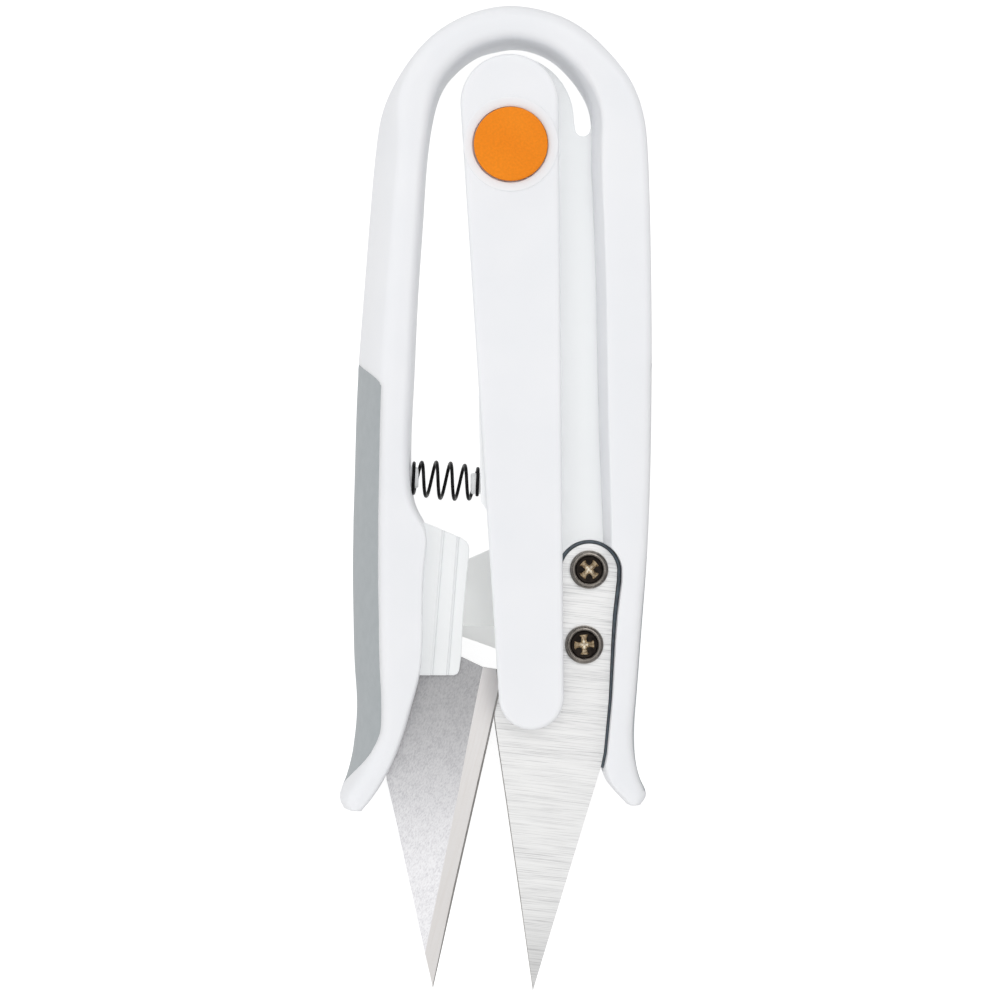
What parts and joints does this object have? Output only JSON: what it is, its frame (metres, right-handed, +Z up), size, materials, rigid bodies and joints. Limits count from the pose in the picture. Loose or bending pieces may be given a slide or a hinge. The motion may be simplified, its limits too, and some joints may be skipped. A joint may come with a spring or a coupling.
{
  "type": "thread snips",
  "caption": "Spring-open squeeze snips with a bow-shaped handle, two crossing pointed blades, soft grips, a coil return spring and a pivoting guide bar.",
  "frame": {"origin": "centre of the bottom of the bounding box, on the surface that the snips lie on", "axes": "+Y along the snips towards the bow, +X from the moving arm to the fixed arm, +Z up out of the face with the guide bar"},
  "size_m": [0.0412, 0.1299, 0.0119],
  "materials": {
    "white_plastic": "satin moulded white plastic",
    "grip_grey": "matte soft-touch grey",
    "orange_plastic": "satin orange plastic",
    "blade_steel": "ground and brushed",
    "screw_steel": "dark plated",
    "spring_steel": "black oxide",
    "pin_steel": "turned",
    "dark_liner": "matte dark slate"
  },
  "bodies": {
    "fixed_side": {"fixed_arm": "white_plastic", "fixed_blade": "blade_steel", "fixed_blade_liner": "dark_liner", "fixed_blade_screw_upper": "screw_steel", "fixed_blade_screw_lower": "screw_steel", "fixed_grip_pad": "grip_grey", "pivot_pin": "pin_steel", "pivot_washer": "pin_steel", "pivot_clip": "spring_steel", "return_spring": "spring_steel"},
    "moving_side": {"moving_arm": "white_plastic", "moving_blade": "blade_steel", "moving_blade_liner": "dark_liner", "moving_blade_screw_upper": "screw_steel", "moving_blade_screw_lower": "screw_steel", "moving_grip_pad": "grip_grey"},
    "guide_bar": {"guide_bar": "white_plastic", "pivot_cap": "orange_plastic"}
  },
  "joints": [
    {"name": "squeeze", "type": "hinge", "parent": "fixed_side", "child": "moving_side", "pos_m": [0.00198, 0.06209, 0.00575], "axis": [0, 0, 1], "range_deg": [0, 6.1], "stiffness_Nm_per_rad": 1.5, "springref_deg": -1.15, "deforming": ["return_spring"]},
    {"name": "guide_bar_swing", "type": "hinge", "parent": "fixed_side", "child": "guide_bar", "pos_m": [0.0021, 0.0464, 0.01005], "axis": [0, 0, 1], "range_deg": [0, 4]}
  ]
}
